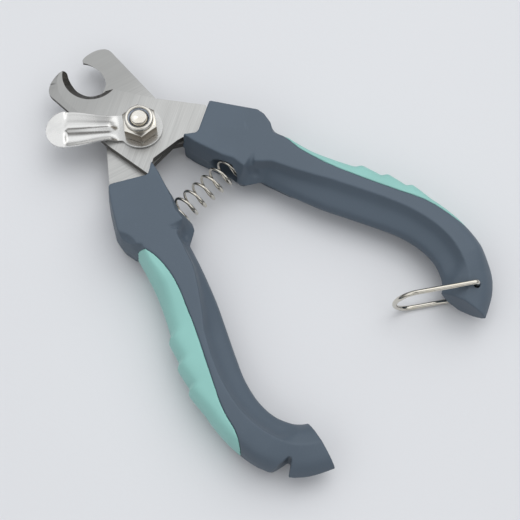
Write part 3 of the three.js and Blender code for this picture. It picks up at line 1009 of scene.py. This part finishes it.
def make_guard():
    low = GUARD_TRIM - GUARD_EYE_RADIUS
    high = GUARD_REACH + GUARD_PAD_RADIUS - GUARD_TRIM
    rings = []
    for r in range(GUARD_ROWS + 1):
        t = r / GUARD_ROWS
        ease = (1 - math.cos(t * math.pi)) / 2
        s = low + (high - low) * (t + (ease - t) * ROW_CROWDING)
        half = guard_half_width(s)
        top = []
        for c in range(GUARD_COLUMNS + 1):
            across = 1 - 2 * c / GUARD_COLUMNS
            z = GUARD_LOW + GUARD_THICKNESS + guard_rise(s, across)
            top.append((s, half * across, z))
        under = [(x, y, z - GUARD_THICKNESS) for x, y, z in reversed(top)]
        rings.append(top + under)
    guard = loft("guard", rings)
    cut(guard, round_bar(BOLT_RADIUS + BOLT_PLAY, GUARD_LOW - 1, GUARD_LOW + 3))
    ease_edges(guard, 0.15, angle=50)
    guard.data.transform(Matrix.Rotation(GUARD_ANGLE, 4, "Z"))
    return smooth_shaded(guard, 40)


# ---- spring and lock wire ----
STEPS_A_TURN = 40


def make_spring():
    half = SPRING_END - SPRING_WIRE / 2
    path = []
    for t in np.linspace(0, 1, int(SPRING_TURNS * STEPS_A_TURN) + 1):
        a = t * SPRING_TURNS * 2 * math.pi
        path.append((half * (2 * t - 1), SPRING_Y + SPRING_RADIUS * math.cos(a),
                     SPRING_RADIUS * math.sin(a)))
    return smooth_shaded(tube("spring", path, SPRING_WIRE / 2))


def make_lock_wire():
    """A bail that is the same above and below the parting plane."""
    upper = [(0, 0, z) for z in np.linspace(0, BAIL_HALF_HEIGHT - BAIL_CORNER, 12)[1:]]
    for a in np.linspace(0, math.pi / 2, 13)[1:]:
        upper.append((BAIL_CORNER * (1 - math.cos(a)), 0,
                      BAIL_HALF_HEIGHT - BAIL_CORNER * (1 - math.sin(a))))
    for x in np.linspace(BAIL_CORNER, BAIL_STRAIGHT, 16)[1:]:
        upper.append((x, 0, BAIL_HALF_HEIGHT))
    for a in np.linspace(0, math.pi / 2, 24)[1:]:
        upper.append((BAIL_STRAIGHT + BAIL_CURVE * math.sin(a), 0,
                      BAIL_HALF_HEIGHT * math.cos(a)))
    path = upper + [(x, y, -z) for x, y, z in reversed(upper[:-1])]
    wire = tube("lock_wire_bright", path, BAIL_WIRE / 2)
    place = Matrix.Translation((BAIL_PIVOT.x, BAIL_PIVOT.y, 0))
    wire.data.transform(place @ Matrix.Rotation(BAIL_ANGLE, 4, "Z"))
    return smooth_shaded(wire, 60)


# ---- pieces ----
plastic = moulded_plastic()
rubber = soft_rubber()
shaded_edge_metal = shaded_edge_steel()
polished = pressed_sheet()
nickel = bright_metal("nickel_plate", (0.74, 0.715, 0.66), 0.15, 0.4)
# a dark copy of the nickel, painted shade for the nut's hexagon sides
shaded_nickel = bright_metal("shaded_nickel_flats", (0.27, 0.235, 0.19), 0.2, 0.4)
wire_metal = bright_metal("bright_wire", (0.66, 0.63, 0.56), 0.1, 0.4)

put_in_place(make_blade("upper_blade_ground", round_bar(BOLT_RADIUS + BOLT_PLAY, -1, 4)),
             "upper_blade", "right_half", (brushed_steel("upper_steel", -0.5, 1.08), shaded_edge_metal))
put_in_place(make_blade("lower_blade_ground", square_bar(BOLT_NECK + 2 * BOLT_PLAY, -1, 4)),
             "lower_blade", "left_half", (brushed_steel("lower_steel", 0.25, 1.05), shaded_edge_metal),
             True)
put_in_place(make_handle("right_handle_moulding", bail_hole(), SHARP_FRONT),
             "right_handle", "right_half", plastic)
put_in_place(make_handle("left_handle_moulding", catch_notch(), ROUND_FRONT),
             "left_handle", "left_half", plastic, True)
inlay = make_grip("right_grip_inlay")
put_in_place(copied(inlay, "left_grip_inlay"),
             "left_grip", "left_half", rubber, True)
put_in_place(inlay, "right_grip", "right_half", rubber)
put_in_place(make_bolt(), "pivot_bolt", "left_half", nickel)
put_in_place(make_nut(), "pivot_nut", "left_half", (nickel, shaded_nickel))
put_in_place(make_insert(), "nut_insert", "left_half", nylon_ring())
put_in_place(make_guard(), "nail_guard", "guard", polished)
put_in_place(make_lock_wire(), "lock_wire", "lock", wire_metal)

coil = put_in_place(make_spring(), "return_spring", None, wire_metal)
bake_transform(coil)

# ---- floor, light and camera ----
FLOOR_REACH = 3
corners = [(-1, -1, 0), (1, -1, 0), (1, 1, 0), (-1, 1, 0)]
floor = new_piece("floor", [Vector(corner) * FLOOR_REACH for corner in corners], [(0, 1, 2, 3)])
floor.data.materials.append(paper_floor())

CAMERA_PLACE = PIVOT + Vector((-93.83, -142.05, 327.5)) * MM
CAMERA_RIGHT = Vector((0.71494, -0.69900, 0.01600))
CAMERA_AHEAD = Vector((0.25872, 0.24322, -0.93483))
CAMERA_UP = CAMERA_RIGHT.cross(CAMERA_AHEAD)
CAMERA_LENS = 80.12

camera = bpy.data.objects.new("camera", bpy.data.cameras.new("camera"))
bpy.context.scene.collection.objects.link(camera)
camera.data.lens = CAMERA_LENS
camera.data.clip_start = 0.01
turn = Matrix((CAMERA_RIGHT, CAMERA_UP, -CAMERA_AHEAD)).transposed()
camera.matrix_world = Matrix.Translation(CAMERA_PLACE) @ turn.to_4x4()
bpy.context.scene.camera = camera


def soft_light(name, place, size, power, colour, in_reflections):
    lamp = bpy.data.lights.new(name, "AREA")
    lamp.size = size
    lamp.energy = power
    lamp.color = colour
    holder = bpy.data.objects.new(name, lamp)
    bpy.context.scene.collection.objects.link(holder)
    holder.location = place
    holder.rotation_mode = "QUATERNION"
    holder.rotation_quaternion = (-Vector(place)).to_track_quat("-Z", "Y")
    holder.visible_glossy = in_reflections


soft_light("overhead", (0.28, 0.1, 1.15), 1.0, 3.5, (1.0, 0.995, 0.985), False)
soft_light("window", (0.95, 0.15, 0.95), 1.0, 2.0, (1.0, 0.99, 0.97), True)

ROOM_PALE = (0.97, 0.985, 1.0, 1)
ROOM_LOW = (0.2, 0.2, 0.2, 1)
ROOM_DARK = (0.1, 0.095, 0.09, 1)
ROOM_STRENGTH = 1.12
PALE_FROM = (0.2, 0.7)  # how far up the room turns from low to pale, 1 being straight up
DARK_PATCH = (0.9, 0.985)  # how squarely a place faces the camera's side, 1 being dead ahead


def paint_room():
    """A pale room, dimmer towards the horizon, with a dark patch where the camera stands."""
    room = bpy.data.worlds.new("studio")
    bpy.context.scene.world = room
    work = NodeWork(room)
    way = work.out("ShaderNodeTexCoord", {}, {}, "Generated")

    def facing(direction):
        return work.out(
            "ShaderNodeVectorMath", {"operation": "DOT_PRODUCT"},
            {0: way, 1: tuple(direction.normalized())}, "Value",
        )

    colour = work.mixed(facing(Vector((0, 0, 1))).clipped(*PALE_FROM), ROOM_LOW, ROOM_PALE)
    colour = work.mixed(facing(-CAMERA_AHEAD).clipped(*DARK_PATCH), colour, ROOM_DARK)
    background = work.tree.nodes["Background"]
    work.set_socket(background.inputs["Color"], colour)
    work.set_socket(background.inputs["Strength"], ROOM_STRENGTH)


paint_room()
bpy.context.scene.view_settings.view_transform = "Standard"
